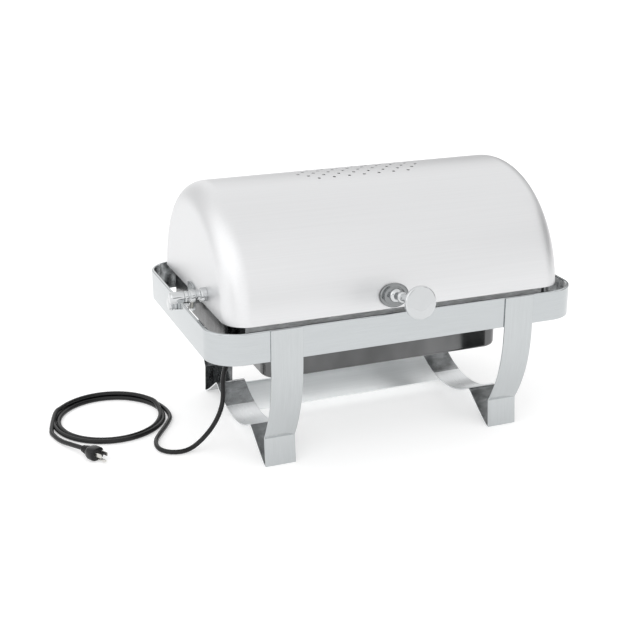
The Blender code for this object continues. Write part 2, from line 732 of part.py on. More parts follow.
def make_coil(home, finish):
    """The coiled turns as one ring of oval section, lying on the floor."""
    wide, tall = COIL_HALF
    around = 40
    rings = []
    for i in range(around):
        turn = 2 * pi * i / around
        ring = []
        for k in range(10):
            lean = 2 * pi * k / 10
            r = COIL_RADIUS + wide * cos(lean)
            ring.append(Vector((COIL_CENTRE[0] + r * cos(turn), COIL_CENTRE[1] + r * sin(turn),
                                tall + GAP + tall * sin(lean))))
        rings.append(ring)
    loft("cord_coil", rings, home, finish, closed=True)


def make_plug(home, look):
    """A moulded plug lying on the floor, with two flat blades and a round pin."""
    start = Vector((*PLUG_START, PLUG_Z))
    across = PLUG_HEADING.cross(Vector((0, 0, 1)))
    up = Vector((0, 0, 1))
    rows = [(0.0, 0.0052, 0.0052), (0.010, 0.0070, 0.0066), (0.018, 0.0105, 0.0090),
            (0.024, 0.0130, 0.0108), (0.036, 0.0130, 0.0108), (0.038, 0.0120, 0.0100)]
    rings = []
    for along, wide, tall in rows:
        ring = []
        for i in range(20):
            turn = 2 * pi * i / 20
            c, s = cos(turn), sin(turn)
            square = (abs(c) ** 3 + abs(s) ** 3) ** (-1 / 3)
            ring.append(start + PLUG_HEADING * along + across * (wide * c * square)
                        + up * (tall * s * square))
        rings.append(ring)
    loft("plug_body", rings, home, look["rubber"])
    face = start + PLUG_HEADING * (0.038 + GAP)
    for name, shift in (("plug_blade_neutral", -BLADE_OFFSET), ("plug_blade_line", BLADE_OFFSET)):
        middle = face + across * shift + up * 0.0030
        rings = []
        for along, tall in ((0.0, 0.0032), (0.0145, 0.0032), (0.0160, 0.0024)):
            here = middle + PLUG_HEADING * along
            rings.append([here + across * (0.00075 * a) + up * (tall * b)
                          for a, b in ((-1, -1), (1, -1), (1, 1), (-1, 1))])
        loft(name, rings, home, look["nickel"], smooth=False)
    turned("plug_ground_pin", [(0, 0.0024), (0.0165, 0.0024), (0.0185, 0.0014)],
           face - up * 0.0066, PLUG_HEADING, home, look["nickel"], 14)


# ---------------------------------------------------------------- assembly

def empty(name, home, place):
    made = bpy.data.objects.new(name, None)
    bpy.context.collection.objects.link(made)
    made.parent = home
    made.location = place
    return made


def build():
    clear_scene()
    look = materials()
    base = empty("chafer", None, (CENTRE_X, CENTRE_Y, 0))
    make_frame_band(base, look["polished"])
    make_legs(base, look["polished"])
    make_cross_ribbons(base, look["polished"])
    make_cross_shelf(base, look["polished"])
    make_pan_carrier(base, look["pan"])
    make_carrier_brackets(base, look["pan"])
    make_heater(base, look)
    make_hangers(base, look["pan"])
    make_cord(base, look)
    make_plug(base, look)
    dome_axis = empty("dome_axis", base, (0, 0, AXIS_Z))
    dome = make_dome(dome_axis, look["satin"])
    cut(dome, make_knob(dome_axis, look["chrome"]), "knob_hole")
    for side, sx in SIDES:
        make_pivots(side, sx, base, look["chrome"])
        make_dome_lug(side, sx, dome_axis, look["polished"])
        make_pivot_bushing(side, sx, dome_axis, look["nylon"])
    make_side_post(dome_axis, look["chrome"])
    water_seat = empty("water_pan_seat", base, (0, 0, CARRIER_TOP + GAP))
    make_pan("water_pan", WATER_RIM_HALF, WATER_FLANGE, WATER_DEPTH, 0.030, water_seat,
             look["pan"])
    food_seat = empty("food_pan_seat", base, (0, 0, CARRIER_TOP + GAP * 2 + PAN_SHEET))
    make_pan("food_pan", FOOD_RIM_HALF, FOOD_FLANGE, FOOD_DEPTH, 0.026, food_seat,
             look["pan"])


build()
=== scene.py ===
"""Looks of the electric roll top chafer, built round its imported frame. Metres, +Z up."""
import json
from math import asin, cos, pi, radians, sin, sqrt

import bmesh
import bpy
from mathutils import Euler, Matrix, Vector


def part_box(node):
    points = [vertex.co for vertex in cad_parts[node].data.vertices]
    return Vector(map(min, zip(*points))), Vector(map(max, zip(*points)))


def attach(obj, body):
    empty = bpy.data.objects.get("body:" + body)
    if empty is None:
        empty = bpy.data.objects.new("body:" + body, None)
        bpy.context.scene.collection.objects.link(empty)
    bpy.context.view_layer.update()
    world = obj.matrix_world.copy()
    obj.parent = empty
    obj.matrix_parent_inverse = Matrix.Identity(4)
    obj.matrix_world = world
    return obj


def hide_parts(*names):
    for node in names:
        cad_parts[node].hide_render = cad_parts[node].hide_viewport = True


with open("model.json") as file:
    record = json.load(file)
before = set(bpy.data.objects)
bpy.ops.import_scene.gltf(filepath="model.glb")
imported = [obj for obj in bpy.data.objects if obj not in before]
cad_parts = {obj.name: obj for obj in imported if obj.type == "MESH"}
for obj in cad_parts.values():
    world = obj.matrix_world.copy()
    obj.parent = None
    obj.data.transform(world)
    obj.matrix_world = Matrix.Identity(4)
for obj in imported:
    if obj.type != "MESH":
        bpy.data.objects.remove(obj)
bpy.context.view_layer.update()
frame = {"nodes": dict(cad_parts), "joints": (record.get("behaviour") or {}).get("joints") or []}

band_low, band_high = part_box("frame_band")
# Middle of the frame on the table; every size and place below is measured from it.
ORIGIN = Vector(((band_low.x + band_high.x) / 2, (band_low.y + band_high.y) / 2, 0.0))
AXIS_Z = frame["joints"][0]["pos_m"][2]
UP = Vector((0.0, 0.0, 1.0))
SIDES = (("left", -1), ("right", 1))
ENDS = (("front", -1), ("rear", 1))
GAP = 0.0003

# Sizes shared with the CAD model.
FRAME_HALF = (0.325, 0.204)
BAND_Z = (0.1975, 0.249)
BAND_CORNER = 0.052
BAND_SHEET = 0.0022
LIP_WIDTH = 0.0045
DOME_RADIUS = 0.1975
DOME_HALF_X = 0.296
DOME_FILLET = 0.040
DOME_SHEET = 0.0010
RIM_Z = 0.2555
VENT_DIAMETER = 0.0055
VENT_PITCH = (0.027, 0.014)
VENT_ROWS = (7, 8, 9, 8, 7)
LEG_X = 0.2054
LEG_WIDTH = 0.053
LEG_CURVE = 2.35           # how late the leg bends inward on its way down
RIBBON_SHEET = 0.0026
RAMP_FROM = 0.038          # the rear of a cross ribbon carries a painted dark reflection from here
CREASE = (0.1635, 0.049)   # (y, z) of the fold above each foot
FOOT_Y = 0.1680
PEAK = (0.095, 0.043)      # (y, z) of the cross ribbon's top
PEAK_EDGE = (0.006, 0.0032)    # how far in and down the peak's rounding ends
SAG_Z = 0.0155
SHELF = (0.013, 0.087)     # front and rear edge
SHELF_SHEET = 0.0020
SHELF_WALL_TOP = 0.0550
SHELF_WALL_X = (-0.125, 0.163)     # where the back wall starts and ends
SHELF_CORNER = 0.048
KNOB_X = -0.020
KNOB_ANGLE = radians(10.8)
KNOB_REACH = 0.297
KNOB_RADIUS = 0.026
KNOB_THICK = 0.007
PLATE_OVAL = 0.78          # height of the knob's plate for its width
POST = (-0.080, 0.277)
POST_RADIUS = 0.010
POST_END_X = 0.356
PIN_RADIUS = 0.005
PIN_HEAD = 0.0135
PIN_HEAD_RADIUS = 0.0110
CARRIER_HALF = (0.286, 0.184)
CARRIER_Z = (0.204, 0.251)
CARRIER_SHEET = 0.0022
CARRIER_FLANGE = 0.022
CARRIER_CORNER = 0.045
PAN_SEAT = CARRIER_Z[1] + GAP
PAN_SHEET = 0.0016
# Half sizes over the flange, flange width, depth and corner radius.
WATER_PAN = ((0.278, 0.176), 0.022, 0.074, 0.030)
FOOD_PAN = ((0.265, 0.1625), 0.014, 0.065, 0.026)
HEATER_HALF = (0.215, 0.132)
HEATER_Z = (0.134, 0.1763)
HEATER_CORNER = 0.030
HEATER_SHEET = 0.0015
CORD_RADIUS = 0.004
CORD_EXIT = (-0.2158, -0.060, 0.155)
COIL_CENTRE = (-0.427, 0.103)
PLUG_START = Vector((-0.4975, -0.0125, 0.0112))
PLUG_HEADING = Vector((0.489, -0.872, 0.0)).normalized()

# Studio.
CAMERA_PLACE = Vector((-0.79925, -1.82509, 0.89676))
CAMERA_DOWN = radians(20.17)
CAMERA_TURN = radians(-21.82)
CAMERA_LENS = 67.49
FLOOR_HALF = 30.0
FLOOR_TONE = 0.70
FLOOR_GLOW = 0.44
STUDIO_STRENGTH = 1.16
KEY_PLACE = (-2.2, -1.0, 2.4)
KEY_TARGET = (0, 0, 0.2)
KEY_SIZE = (3.6, 3.0)
KEY_POWER = 12

# Soft cards round the studio: azimuth and elevation of the middle, half angle, blur, tone.
CARDS = (
    (-15, 85, 48, 14, 0.91),
    (-24, 34, 34, 14, 1.14),
    (128, 6, 20, 8, 0.45),
    (-106, 24, 20, 10, 1.20),
    (84, 10, 20, 8, 0.30),
    (150, 8, 14, 6, 0.40),
    (-150, 10, 26, 12, 0.72),
    (14, 14, 6, 2, 0.08),
    (-34, 26, 5, 2, 0.10),
    (48, 30, 6, 2, 0.10),
    (-66, 9, 6, 2, 0.10),
)

# Finish.
BUMP_STRENGTH = 0.35
DULL_BUMP_STRENGTH = 0.5
NOISE_SPAN = (0.3, 0.7)    # the part of a noise's 0 to 1 that is used
BEVEL = 0.0007
BEVEL_ANGLE = radians(40)
END_FACE_CORNERS = 60      # only the dome's flat ends have faces with more corners

# A face looks along a direction when its normal's share of that direction is beyond these.
EDGE_FACING = 0.7          # on the dome; a face below it belongs to a cut edge
HALF_FACING = 0.5
BACK_FACING = 0.3          # on the gently curved back of a leg
LEVEL_FACING = 0.9
INWARD = 0.02              # metres that a face's place lies against its normal, on the band


# ---------------------------------------------------------------- materials

def shader_of(name, colour, roughness, metallic):
    """A new material and its main shader."""
    made = bpy.data.materials.new(name)
    made.use_nodes = True
    shader = made.node_tree.nodes["Principled BSDF"]
    shader.inputs["Base Color"].default_value = (*colour, 1.0)
    shader.inputs["Roughness"].default_value = roughness
    shader.inputs["Metallic"].default_value = metallic
    made.diffuse_color = (*colour, 1.0)
    return made, shader


def noise_of(tree, stretch, detail=5.0, roughness=0.6):
    """Noise in the object's own metres, stretched by a scale for each axis."""
    where = tree.nodes.new("ShaderNodeTexCoord")
    mapping = tree.nodes.new("ShaderNodeMapping")
    mapping.inputs["Scale"].default_value = stretch
    noise = tree.nodes.new("ShaderNodeTexNoise")
    noise.inputs["Scale"].default_value = 1.0
    noise.inputs["Detail"].default_value = detail
    noise.inputs["Roughness"].default_value = roughness
    tree.links.new(where.outputs["Object"], mapping.inputs["Vector"])
    tree.links.new(mapping.outputs["Vector"], noise.inputs["Vector"])
    return noise.outputs["Fac"]


def spread_to(tree, value, socket, low, high):
    """Map a noise to a range and feed it to a socket."""
    node = tree.nodes.new("ShaderNodeMapRange")
    node.inputs["From Min"].default_value = NOISE_SPAN[0]
    node.inputs["From Max"].default_value = NOISE_SPAN[1]
    node.inputs["To Min"].default_value = low
    node.inputs["To Max"].default_value = high
    tree.links.new(value, node.inputs["Value"])
    tree.links.new(node.outputs["Result"], socket)


def tint(tree, value, socket, dark, light):
    """Colour a socket from dark to light by a noise."""
    ramp = tree.nodes.new("ShaderNodeValToRGB")
    for stop, position, colour in zip(ramp.color_ramp.elements, NOISE_SPAN, (dark, light)):
        stop.position = position
        stop.color = (*colour, 1.0)
    tree.links.new(value, ramp.inputs["Fac"])
    tree.links.new(ramp.outputs["Color"], socket)


def bump(tree, value, socket, distance, strength=BUMP_STRENGTH):
    """Raise a surface by a noise, by up to a distance in metres."""
    node = tree.nodes.new("ShaderNodeBump")
    node.inputs["Strength"].default_value = strength
    node.inputs["Distance"].default_value = distance
    tree.links.new(value, node.inputs["Height"])
    tree.links.new(node.outputs["Normal"], socket)


def metal(name, colour, roughness, spread, stretch, height, shade=0.03, patch=None):
    """Metal with a directional grain.

    Spread is added to and taken from the roughness, stretch is the grain's scale on each axis,
    height the bump in metres, shade the change of tone, and patch the scale of that change.
    """
    made, shader = shader_of(name, colour, roughness, 1.0)
    tree = made.node_tree
    grain = noise_of(tree, stretch)
    spread_to(tree, grain, shader.inputs["Roughness"], roughness - spread, roughness + spread)
    dark = [c * (1 - shade) for c in colour]
    light = [min(1.0, c * (1 + shade)) for c in colour]
    broad = patch or [s * 0.7 for s in stretch]
    tint(tree, noise_of(tree, broad, 3.0), shader.inputs["Base Color"], dark, light)
    if height:
        bump(tree, grain, shader.inputs["Normal"], height)
    return made


def dull(name, dark, light, roughness, stretch, height, spread=0.05, specular=0.5):
    """Plastic, rubber or wool: mottled colour, roughness and a fine surface."""
    made, shader = shader_of(name, light, roughness, 0.0)
    shader.inputs["Specular IOR Level"].default_value = specular
    tree = made.node_tree
    grain = noise_of(tree, (stretch,) * 3)
    tint(tree, grain, shader.inputs["Base Color"], dark, light)
    spread_to(tree, grain, shader.inputs["Roughness"], roughness - spread, roughness + spread)
    bump(tree, grain, shader.inputs["Normal"], height, DULL_BUMP_STRENGTH)
    return made


LOOK = {
    "band": metal("band_polish", (0.505, 0.526, 0.536), 0.13, 0.02, (25, 25, 900), 0.000003),
    "leg": metal("leg_polish", (0.515, 0.535, 0.543), 0.13, 0.02, (900, 30, 30), 0.000003),
    # Painted shade: the legs' inward faces get a dark, mottled copy of their steel, standing in
    # for the shadowed underside they reflect.
    "leg_back_shade": metal("leg_back_painted_shade", (0.20, 0.207, 0.21), 0.22, 0.08, (300, 40, 120), 0.000006,
                  0.55, (70, 90, 50)),
    # Painted reflection: a darker copy of the cross ribbons' steel on their ramps, standing in
    # for the heater's dark underside seen in them.
    "ramp": metal("ramp_painted_reflection", (0.36, 0.37, 0.375), 0.22, 0.05, (700, 30, 30), 0.000005,
                  0.30, (60, 90, 60)),
    # Painted shade: the band's inner face is a darker, strongly mottled copy of the band's steel.
    "inside": metal("band_inside_painted_shade", (0.30, 0.31, 0.315), 0.20, 0.06, (60, 60, 400), 0.000005,
                    0.75, (90, 90, 60)),
    # Painted light: the cross ribbons' steel is much lighter than the legs', offsetting the shade
    # and dark reflections that fall on them.
    "ribbon": metal("ribbon_satin_painted_light", (0.74, 0.755, 0.765), 0.30, 0.04, (700, 30, 30), 0.000004),
    # Painted light: a near-white copy of the steel, lifting the shelf's wall out of the heater's
    # shadow.
    "shelf": metal("shelf_satin_painted_light", (0.93, 0.95, 0.955), 0.37, 0.03, (20, 700, 700), 0.000003),
    # Painted reflection: the knob's plate is chrome made dark, standing in for the dark
    # surroundings it mirrors.
    "plate": metal("knob_plate_chrome_painted_reflection", (0.24, 0.248, 0.252), 0.06, 0.02, (60, 60, 60), 0.0,
                   0.01),
    "dome": metal("dome_satin", (0.712, 0.715, 0.722), 0.42, 0.04, (7, 750, 750), 0.000006,
                  0.015),
    "pan": metal("pan_drawn", (0.62, 0.63, 0.635), 0.28, 0.04, (14, 520, 420), 0.000004, 0.05,
                 (10, 60, 60)),
    # Painted shade: the carrier's side walls, seen in the shadowed gap under the dome, are near
    # black, with painted bright streaks from the strong mottle.
    "carrier_side_shade": metal("carrier_side_painted_shade", (0.050, 0.051, 0.052), 0.22, 0.05, (60, 60, 500),
                        0.000004, 0.90, (110, 110, 40)),
    # Painted light: the carrier's front, rear and upward faces are a pale, matte copy of its
    # steel, so the shadowed slit under the dome reads lighter.
    "carrier_lit_face": metal("carrier_face_painted_light", (0.80, 0.81, 0.815), 0.80, 0.06, (60, 60, 300), 0.00001,
                     0.15),
    # Painted shade: the heater box's walls are a darkened copy of steel, standing in for the dark
    # surroundings they reflect under the band; the mottle along them is random.
    "heater": metal("heater_shell", (0.130, 0.1315, 0.133), 0.15, 0.03, (20, 20, 800),
                    0.000003, 0.35, (9, 4, 4)),
    "chrome": metal("chrome_plate", (0.585, 0.597, 0.605), 0.05, 0.02, (60, 60, 60), 0.0, 0.01),
    "aluminium": metal("plate_aluminium", (0.70, 0.71, 0.72), 0.45, 0.08, (40, 800, 800),
                       0.00001),
    "sheath": metal("sheath_oxide", (0.16, 0.15, 0.14), 0.55, 0.1, (400, 400, 400), 0.00002,
                    0.25),
    "nickel": metal("blade_nickel", (0.62, 0.61, 0.58), 0.20, 0.05, (60, 60, 700), 0.000004,
                    0.04),
    "wool": dull("mineral_wool", (0.70, 0.67, 0.58), (0.88, 0.86, 0.80), 0.95, 500, 0.0006, 0.04),
    "phenolic": dull("moulded_phenolic", (0.07, 0.04, 0.03), (0.12, 0.075, 0.05), 0.45, 900,
                     0.00004),
    "nylon": dull("natural_nylon", (0.74, 0.73, 0.68), (0.82, 0.81, 0.76), 0.5, 700, 0.00003),
    "rubber": dull("cord_rubber", (0.003, 0.0034, 0.0038), (0.007, 0.0074, 0.0078), 0.22, 1400,
                   0.000012, 0.04, 0.32),
}


# ---------------------------------------------------------------- mesh helpers

def piece(name, points, faces, body, look, stands_for, bevel=0.0, corner=35):
    """A mesh in the frame's own coordinates, riding on a body in place of CAD nodes."""
    mesh = bpy.data.meshes.new(name)
    mesh.from_pydata([tuple(Vector(p) + ORIGIN) for p in points], [], faces)
    shape = bmesh.new()
    shape.from_mesh(mesh)
    bmesh.ops.recalc_face_normals(shape, faces=shape.faces)
    shape.to_mesh(mesh)
    shape.free()
    mesh.materials.append(LOOK[look])
    mesh.shade_smooth()
    mesh.set_sharp_from_angle(angle=radians(corner))
    made = bpy.data.objects.new(name, mesh)
    bpy.context.scene.collection.objects.link(made)
    if bevel:
        edge = made.modifiers.new("edges", "BEVEL")
        edge.width = bevel
        edge.segments = 2
        edge.limit_method = "ANGLE"
        edge.angle_limit = BEVEL_ANGLE
        edge.harden_normals = True
    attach(made, body)
    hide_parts(*stands_for)
    return made


def skin(rings, closed):
    """Points and faces of rings of equal count, capped unless closed."""
    count = len(rings[0])
    points = [p for ring in rings for p in ring]
    faces = []
    for i in range(len(rings) if closed else len(rings) - 1):
        here = i * count
        there = (i + 1) % len(rings) * count
        for j in range(count):
            k = (j + 1) % count
            faces.append((here + j, here + k, there + k, there + j))
    if not closed:
        faces.append(tuple(range(count)))
        faces.append(tuple(range(len(points) - count, len(points))))
    return points, faces


def loft(name, rings, body, look, stands_for, closed=False, bevel=0.0, corner=35):
    """A piece skinned over rings of points."""
    points, faces = skin(rings, closed)
    return piece(name, points, faces, body, look, stands_for, bevel, corner)


def second_look(made, chosen, look="leg_back_shade"):
    """Give the faces picked by their centre and normal a second material; most calls below paint
    shade, light or reflection onto a part this way.
    """
    mesh = made.data
    mesh.materials.append(LOOK[look])
    for face in mesh.polygons:
        if chosen(face.center - ORIGIN, face.normal):
            face.material_index = 1


def rounded_rectangle(half_x, half_y, radius, z, steps=18):
    """A ring of points round a level rectangle with round corners."""
    ring = []
    for quarter, (sx, sy) in enumerate(((1, 1), (-1, 1), (-1, -1), (1, -1))):
        for i in range(steps + 1):
            turn = (quarter + i / steps) * pi / 2
            ring.append(Vector((sx * (half_x - radius) + radius * cos(turn),
                                sy * (half_y - radius) + radius * sin(turn), z)))
    return ring


def around(centre, u, v, radius, steps, squash=1.0):
    """A ring of points about a centre in the plane of u and v, flattened along v."""
    ring = []
    for i in range(steps):
        turn = 2 * pi * i / steps
        ring.append(centre + u * (radius * cos(turn)) + v * (squash * radius * sin(turn)))
    return ring


def turned(name, profile, start, axis, body, look, stands_for, steps=48, squash=1.0,
           corner=50):
    """A solid turned about an axis from (distance along it, radius) pairs."""
    axis = Vector(axis).normalized()
    side = Vector((1.0, 0.0, 0.0))
    u = side - axis * side.dot(axis)
    u = u.normalized() if u.length > 0.1 else Vector((0.0, 1.0, 0.0))
    v = axis.cross(u)
    rings = [around(Vector(start) + axis * d, u, v, r, steps, squash) for d, r in profile]
    return loft(name, rings, body, look, stands_for, corner=corner)


def rounded(profile, size=0.0006, steps=3):
    """Round every inner corner of a (distance, radius) profile."""
    result = [profile[0]]
    for a, b, c in zip(profile, profile[1:], profile[2:]):
        a, b, c = Vector(a), Vector(b), Vector(c)
        reach = min(size, (b - a).length * 0.45, (c - b).length * 0.45)
        near = b + (a - b).normalized() * reach
        far = b + (c - b).normalized() * reach
        for i in range(steps + 1):
            t = i / steps
            point = near * (1 - t) ** 2 + b * (2 * t * (1 - t)) + far * t ** 2
            result.append((point.x, point.y))
    result.append(profile[-1])
    return result


def sheet_outline(path, thickness):
    """The closed outline of a bent sheet whose left side follows a 2D path."""
    path = [Vector(p) for p in path]
    far = []
    for i, point in enumerate(path):
        ahead = path[i + 1] - point if i < len(path) - 1 else None
        behind = point - path[i - 1] if i else None
        ways = [w.normalized() for w in (behind, ahead) if w is not None]
        normals = [Vector((-w.y, w.x)) for w in ways]
        mean = sum(normals, Vector((0.0, 0.0))).normalized()
        far.append(point + mean * (thickness / mean.dot(normals[0])))
    return path + far[::-1]


def ribbon(name, outline, x, look, stands_for):
    """A strip of the frame, as wide as a leg, from its (y, z) outline."""
    rings = [[Vector((x + sx * LEG_WIDTH / 2, p.x, p.y)) for p in outline] for _, sx in SIDES]
    return loft(name, rings, "frame", look, stands_for, bevel=BEVEL)


def smooth_points(route, spacing):
    """Points at about equal spacing on a smooth curve through a given route."""
    route = [Vector(p) for p in route]
    ends = [route[0] * 2 - route[1]] + route + [route[-1] * 2 - route[-2]]
    fine = []
    for i in range(1, len(ends) - 2):
        a, b, c, d = ends[i - 1:i + 3]
        for k in range(24):
            t = k / 24
            fine.append(0.5 * (2 * b + (c - a) * t + (2 * a - 5 * b + 4 * c - d) * t * t
                               + (3 * b - a - 3 * c + d) * t ** 3))
    fine.append(route[-1])
    total = sum((fine[i + 1] - fine[i]).length for i in range(len(fine) - 1))
    count = max(2, round(total / spacing))
    result = [fine[0]]
    walked = 0.0
    for i in range(len(fine) - 1):
        walked += (fine[i + 1] - fine[i]).length
        if walked >= total / count * len(result) and len(result) < count:
            result.append(fine[i + 1])
    result.append(fine[-1])
    return result


# ---------------------------------------------------------------- camera, light and floor

def make_camera():
    data = bpy.data.cameras.new("camera")
    data.lens = CAMERA_LENS
    data.sensor_width = 36.0
    data.clip_end = 100.0
    made = bpy.data.objects.new("camera", data)
    made.location = CAMERA_PLACE + ORIGIN
    made.rotation_euler = Euler((pi / 2 - CAMERA_DOWN, 0.0, CAMERA_TURN))
    bpy.context.scene.collection.objects.link(made)
    bpy.context.scene.camera = made


def make_floor():
    """A wide, pale, faintly glowing floor."""
    mesh = bpy.data.meshes.new("floor")
    signs = ((-1, -1), (1, -1), (1, 1), (-1, 1))
    corners = [(sx * FLOOR_HALF, sy * FLOOR_HALF, 0) for sx, sy in signs]
    mesh.from_pydata(corners, [], [(0, 1, 2, 3)])
    made, shader = shader_of("floor_white", (FLOOR_TONE,) * 3, 0.9, 0.0)
    shader.inputs["Emission Color"].default_value = (1.0, 1.0, 1.0, 1.0)
    shader.inputs["Emission Strength"].default_value = FLOOR_GLOW
    shader.inputs["Specular IOR Level"].default_value = 0.1
    mesh.materials.append(made)
    floor = bpy.data.objects.new("floor", mesh)
    bpy.context.scene.collection.objects.link(floor)


def make_key_light():
    data = bpy.data.lights.new("key", "AREA")
    data.shape = "RECTANGLE"
    data.size, data.size_y = KEY_SIZE
    data.energy = KEY_POWER
    made = bpy.data.objects.new("key", data)
    made.location = KEY_PLACE
    aim = Vector(KEY_TARGET) - Vector(KEY_PLACE)
    made.rotation_euler = aim.to_track_quat("-Z", "Y").to_euler()
    bpy.context.scene.collection.objects.link(made)


def make_world():
    """A pale studio whose tone is the product of its soft cards."""
    world = bpy.data.worlds.new("studio")
    bpy.context.scene.world = world
    world.use_nodes = True
    tree = world.node_tree
    background = tree.nodes["Background"]
    where = tree.nodes.new("ShaderNodeTexCoord").outputs["Generated"]
    tone = None
    for azimuth, elevation, half, blur, value in CARDS:
        a, e = radians(azimuth), radians(elevation)
        facing = tree.nodes.new("ShaderNodeVectorMath")
        facing.operation = "DOT_PRODUCT"
        facing.inputs[1].default_value = (sin(a) * cos(e), -cos(a) * cos(e), sin(e))
        tree.links.new(where, facing.inputs[0])
        edge = tree.nodes.new("ShaderNodeMapRange")
        edge.interpolation_type = "SMOOTHSTEP"
        edge.inputs["From Min"].default_value = cos(radians(half + blur))
        edge.inputs["From Max"].default_value = cos(radians(max(1, half - blur)))
        edge.inputs["To Min"].default_value = 1.0
        edge.inputs["To Max"].default_value = value
        tree.links.new(facing.outputs["Value"], edge.inputs["Value"])
        if tone is None:
            tone = edge.outputs["Result"]
            continue
        both = tree.nodes.new("ShaderNodeMath")
        both.operation = "MULTIPLY"
        tree.links.new(tone, both.inputs[0])
        tree.links.new(edge.outputs["Result"], both.inputs[1])
        tone = both.outputs[0]
    tree.links.new(tone, background.inputs["Color"])
    background.inputs["Strength"].default_value = STUDIO_STRENGTH


# ---------------------------------------------------------------- cord and plug

CORD_ROUTE = (
    (-0.2364, -0.0600, 0.1550), (-0.2450, -0.0606, 0.1537), (-0.2560, -0.0628, 0.1475),
    (-0.2645, -0.0665, 0.1365), (-0.2696, -0.0712, 0.1215), (-0.2712, -0.0755, 0.1045),
    (-0.2735, -0.0785, 0.0865), (-0.2795, -0.0790, 0.0665), (-0.2885, -0.0765, 0.0470),
    (-0.2990, -0.0720, 0.0300), (-0.3115, -0.0690, 0.0160), (-0.3260, -0.0700, 0.0072),
    (-0.3410, -0.0722, 0.0044), (-0.3560, -0.0705, 0.0043), (-0.3690, -0.0625, 0.0043),
    (-0.3768, -0.0485, 0.0043), (-0.3775, -0.0310, 0.0043), (-0.3720, -0.0115, 0.0043),
    (-0.3610, 0.0080, 0.0043), (-0.3480, 0.0280, 0.0043), (-0.3360, 0.0480, 0.0043),
    (-0.3268, 0.0690, 0.0043),
)
TAIL_ROUTE = (
    (-0.5318, 0.0880, 0.0046), (-0.5305, 0.0640, 0.0045), (-0.5235, 0.0400, 0.0050),
    (-0.5115, 0.0140, 0.0082), (-0.4979, -0.0118, 0.0112),
)


# The coil's turn in degrees, radius and height: two turns, then half a turn on top of them.
COIL_MARKS = (
    (-3, 0.1015, 0.0043), (14, 0.0982, 0.0043), (40, 0.0963, 0.0043), (200, 0.0960, 0.0043),
    (330, 0.0955, 0.0043), (372, 0.0905, 0.0043), (400, 0.0880, 0.0043), (560, 0.0880, 0.0043),
    (680, 0.0880, 0.0043), (712, 0.0890, 0.0075), (735, 0.0915, 0.0112), (800, 0.0925, 0.0113),
    (846, 0.0940, 0.0112), (872, 0.0985, 0.0085), (886, 0.1020, 0.0060),
)
COIL_STEP = 16             # degrees
CORD_STEP = 0.008


def coil_route():
    """The coil's points in order, from its marks."""
    route = []
    for (a, ra, za), (b, rb, zb) in zip(COIL_MARKS, COIL_MARKS[1:]):
        steps = max(1, round((b - a) / COIL_STEP))
        for i in range(steps):
            t = i / steps
            turn = radians(a + (b - a) * t)
            r = ra + (rb - ra) * t
            route.append((COIL_CENTRE[0] + r * cos(turn), COIL_CENTRE[1] + r * sin(turn),
                          za + (zb - za) * t))
    return route


def make_cord():
    """The whole cord as one curve, kept just off the floor."""
    route = smooth_points(CORD_ROUTE + tuple(coil_route()) + TAIL_ROUTE, CORD_STEP)
    for point in route:
        point.z = max(point.z, CORD_RADIUS + 0.0001)
    curve = bpy.data.curves.new("cord", "CURVE")
    curve.dimensions = "3D"
    curve.bevel_depth = CORD_RADIUS
    curve.bevel_resolution = 5
    curve.use_fill_caps = True
    spline = curve.splines.new("POLY")
    spline.points.add(len(route) - 1)
    for knot, point in zip(spline.points, route):
        knot.co = (*(point + ORIGIN), 1.0)
    spline.use_smooth = True
    curve.materials.append(LOOK["rubber"])
    cord = bpy.data.objects.new("cord", curve)
    bpy.context.scene.collection.objects.link(cord)
    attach(cord, "frame")
    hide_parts("cord_run", "cord_coil", "cord_tail")
    plug = [make_plug(), frame["nodes"]["plug_blade_line"],
            frame["nodes"]["plug_blade_neutral"], frame["nodes"]["plug_ground_pin"]]


def make_plug():
    """The moulded plug: ribbed neck, swelling grip and a flat face."""
    across = PLUG_HEADING.cross(UP)
    rows = [(0.0, 0.0046, 0.0046)]
    for i in range(5):
        start = 0.0008 + i * 0.0030
        grown = 0.0052 + i * 0.0006
        rows += [(start, grown, grown), (start + 0.0016, grown, grown),
                 (start + 0.0019, grown - 0.0009, grown - 0.0009),
                 (start + 0.0027, grown - 0.0008, grown - 0.0008)]
    rows += [(0.0165, 0.0096, 0.0084), (0.0195, 0.0112, 0.0096), (0.0240, 0.0128, 0.0106),
             (0.0300, 0.0130, 0.0108), (0.0355, 0.0130, 0.0108), (0.0372, 0.0126, 0.0104),
             (0.0380, 0.0116, 0.0095)]
    rings = []
    for along, wide, tall in rows:
        ring = []
        for i in range(36):
            turn = 2 * pi * i / 36
            c, s = cos(turn), sin(turn)
            square = (abs(c) ** 3 + abs(s) ** 3) ** (-1 / 3)
            ring.append(PLUG_START + PLUG_HEADING * along + across * (wide * c * square)
                        + UP * (tall * s * square))
        rings.append(ring)
    return loft("plug", rings, "frame", "rubber", ["plug_body"], corner=50)


def make_strain_relief():
    """A tapered, ribbed sleeve where the cord leaves the heater box."""
    rows = [(0.0, 0.0100), (0.0030, 0.0100), (0.0042, 0.0082)]
    for i in range(5):
        start = 0.0048 + i * 0.0030
        r = 0.0080 - i * 0.0004
        rows += [(start, r), (start + 0.0015, r - 0.0001), (start + 0.0018, r - 0.0010),
                 (start + 0.0027, r - 0.0010)]
    rows.append((0.0200, 0.0054))
    turned("strain_relief_sleeve", rows, Vector(CORD_EXIT) + Vector((0.0005, 0, 0)),
           (-1, 0, 0), "frame", "rubber", ["strain_relief"], 32)


# ---------------------------------------------------------------- frame and legs

